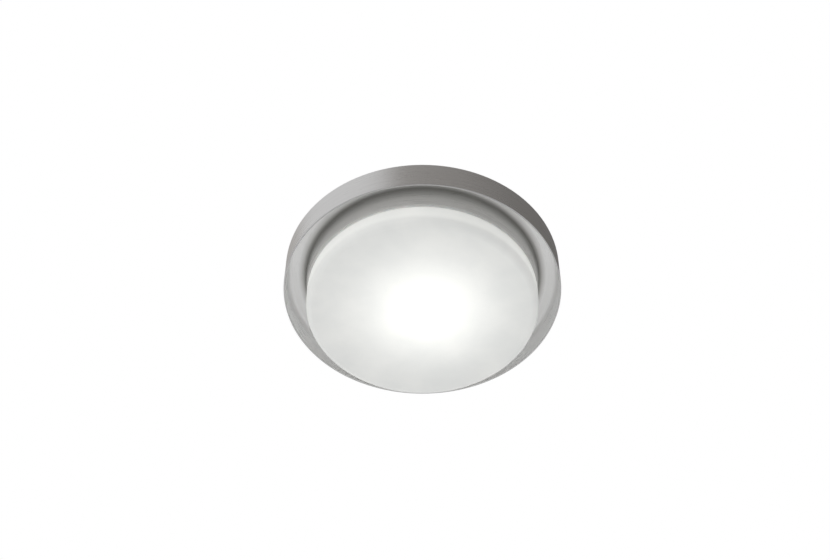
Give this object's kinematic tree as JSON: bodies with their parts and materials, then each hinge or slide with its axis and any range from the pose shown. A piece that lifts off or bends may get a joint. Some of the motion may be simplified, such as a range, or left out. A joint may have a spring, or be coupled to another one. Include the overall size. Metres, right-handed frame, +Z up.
{
  "type": "soffit downlight",
  "caption": "Round surface-mounted soffit light: satin metal housing with a recessed channel and a glowing frosted glass cover that twists off.",
  "frame": {"origin": "centre of the ceiling face, on the back of the mounting plate", "axes": "+Z up into the ceiling along the light's axis, +X along the line of the two ceiling slots, the light hangs towards -Z"},
  "size_m": [0.18, 0.18, 0.0393],
  "materials": {
    "satin_nickel": "cast aluminium with a satin nickel finish, brushed round the axis outside and matt in the channel",
    "opal_glass": "frosted opal",
    "zinc_steel": "zinc plated",
    "socket_steel": "plain stamped",
    "screw_steel": "bright zinc",
    "aluminium": "mill finish",
    "brass": "bright",
    "tinned_copper": "tinned",
    "grommet_rubber": "matt",
    "foam": "closed-cell foam",
    "silicone": "satin silicone",
    "reflector_white": "matt white",
    "board_white": "white solder mask",
    "phosphor": "phosphor gel",
    "ivory_plastic": "moulded",
    "driver_plastic": "moulded, fine grain",
    "board_green": "green solder mask",
    "component_mix": "wound parts and capacitors",
    "earth_pvc": "green and yellow insulation",
    "live_pvc": "brown insulation",
    "neutral_pvc": "blue insulation",
    "red_pvc": "red insulation",
    "black_pvc": "black insulation"
  },
  "bodies": {
    "fixture": {"mounting_plate": "zinc_steel", "cable_grommet": "grommet_rubber", "ceiling_gasket": "foam", "housing": "satin_nickel", "housing_screws": "screw_steel", "bayonet_socket": "socket_steel", "socket_screws": "screw_steel", "standoffs": "brass", "heat_spreader": "aluminium", "reflector_tray": "reflector_white", "tray_screws": "screw_steel", "tray_grommet": "grommet_rubber", "led_board": "board_white", "led_chips": "phosphor", "board_screws": "screw_steel", "board_connector": "ivory_plastic", "driver_case": "driver_plastic", "driver_lid": "driver_plastic", "driver_board": "board_green", "driver_components": "component_mix", "driver_screws": "screw_steel", "terminal_body": "ivory_plastic", "terminal_clamps": "brass", "terminal_screws": "screw_steel", "terminal_fixing_screws": "screw_steel", "earth_stud": "screw_steel", "earth_nut": "screw_steel", "earth_tag": "tinned_copper", "earth_wire": "earth_pvc", "live_wire": "live_pvc", "neutral_wire": "neutral_pvc", "lamp_plus_wire": "red_pvc", "lamp_minus_wire": "black_pvc"},
    "seal": {"cover_seal": "silicone"},
    "cover": {"glass": "opal_glass", "glass_bond": "silicone", "bayonet_ring": "aluminium", "bayonet_pins": "screw_steel"}
  },
  "joints": [
    {"name": "cover_drop", "type": "slide", "parent": "fixture", "child": "seal", "axis": [0, 0, -1], "range_m": [0, 0.0024]},
    {"name": "cover_twist", "type": "hinge", "parent": "seal", "child": "cover", "pos_m": [0, 0, -0.0227], "axis": [0, 0, -1], "range_deg": [0, 24]}
  ],
  "couplings": [
    {"joint": "cover_drop", "follows": "cover_twist", "m_per_rad": 0.0057295}
  ]
}
